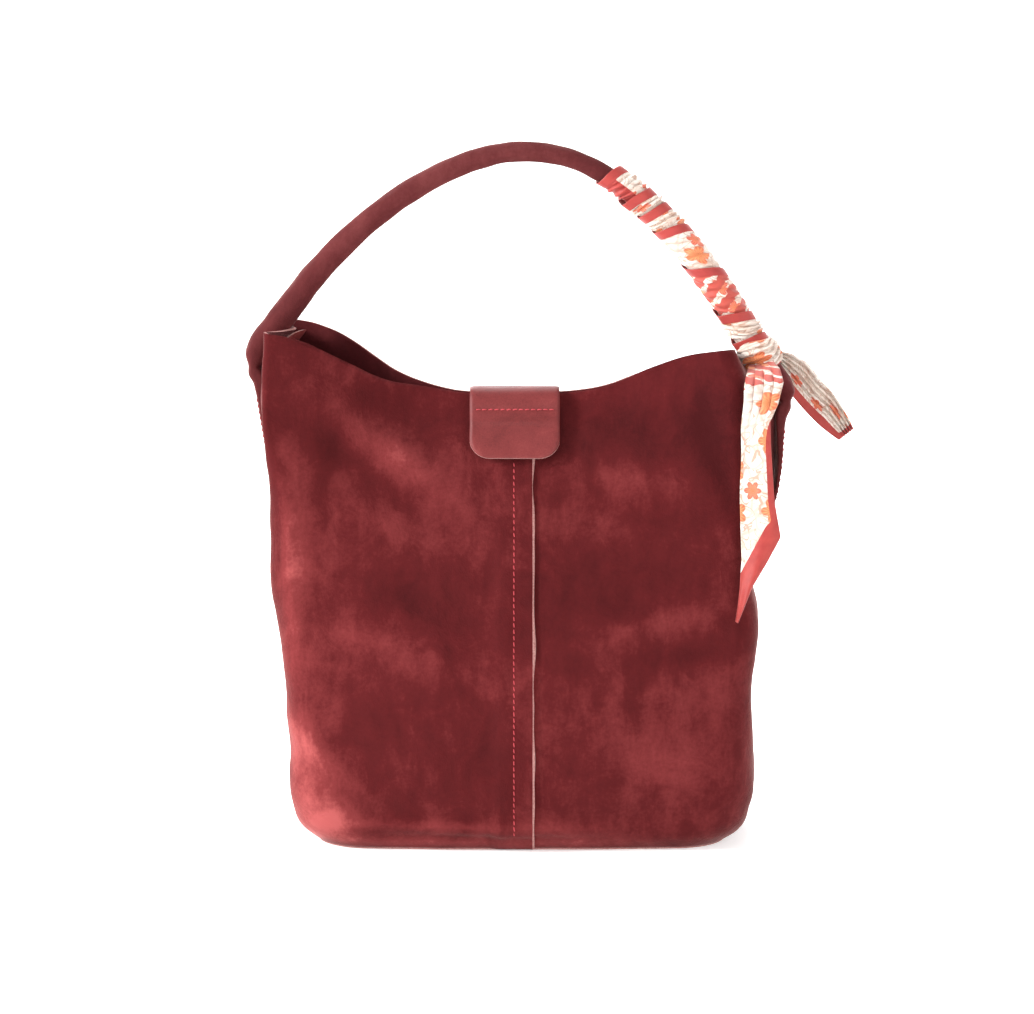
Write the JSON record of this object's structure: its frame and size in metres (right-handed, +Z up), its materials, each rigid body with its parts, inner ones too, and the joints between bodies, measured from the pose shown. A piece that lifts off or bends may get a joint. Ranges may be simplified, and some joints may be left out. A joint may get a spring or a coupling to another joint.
{
  "type": "bucket bag",
  "caption": "Slouchy suede bucket bag with a rolled shoulder handle, a snap closing tab and a small printed scarf tied round the handle",
  "frame": {"origin": "middle of the flat base, on the surface that the bag stands on", "axes": "+Z is up through the handle, -Y is the front with the closing tab, +X is the side where the scarf is tied"},
  "size_m": [0.4265, 0.1686, 0.4867],
  "materials": {
    "suede": "napped burgundy suede, matt",
    "smooth_leather": "smooth burgundy leather, satin",
    "thread": "coral red sewing thread",
    "snap_metal": "brushed light gold",
    "cotton_filler": "undyed cotton cord",
    "printed_scarf": "white satin twill with coral border and flower print"
  },
  "bodies": {
    "bag": {"left_panel": "suede", "right_panel": "suede", "base_panel": "suede", "left_handle_tab": "suede", "right_handle_tab": "suede", "left_inner_patch": "smooth_leather", "right_inner_patch": "smooth_leather", "tab_anchor": "smooth_leather", "snap_socket": "snap_metal", "snap_washer": "snap_metal", "snap_cover_patch": "suede", "front_seam_stitches": "thread", "back_seam_stitches": "thread", "left_handle_tab_stitches": "thread", "right_handle_tab_stitches": "thread", "tab_anchor_stitches": "thread"},
    "handle": {"handle_cover": "suede", "handle_core": "cotton_filler", "scarf_wrap": "printed_scarf", "scarf_knot": "printed_scarf"},
    "tab": {"closure_tab": "smooth_leather", "tab_lining": "suede", "tab_stitches": "thread", "snap_stud": "snap_metal"},
    "front_tail": {"scarf_front_tail": "printed_scarf"},
    "side_tail": {"scarf_side_tail": "printed_scarf"}
  },
  "joints": [
    {"name": "handle_swing", "type": "hinge", "parent": "bag", "child": "handle", "pos_m": [-0.1845, 0, 0.327], "axis": [0.9982, 0, -0.0601], "range_deg": [-22, 22]},
    {"name": "tab_flap", "type": "hinge", "parent": "bag", "child": "tab", "pos_m": [-0.003, 0.0105, 0.3124], "axis": [-1, 0, 0], "range_deg": [0, 140]},
    {"name": "front_tail_swing", "type": "hinge", "parent": "handle", "child": "front_tail", "pos_m": [0.17, -0.046, 0.304], "axis": [0.9982, 0, -0.0601], "range_deg": [-25, 25]},
    {"name": "side_tail_swing", "type": "hinge", "parent": "handle", "child": "side_tail", "pos_m": [0.182, 0.011, 0.336], "axis": [0, 1, 0], "range_deg": [-20, 15]}
  ],
  "couplings": [
    {"joint": "front_tail_swing", "follows": "handle_swing", "ratio": -1.1}
  ]
}
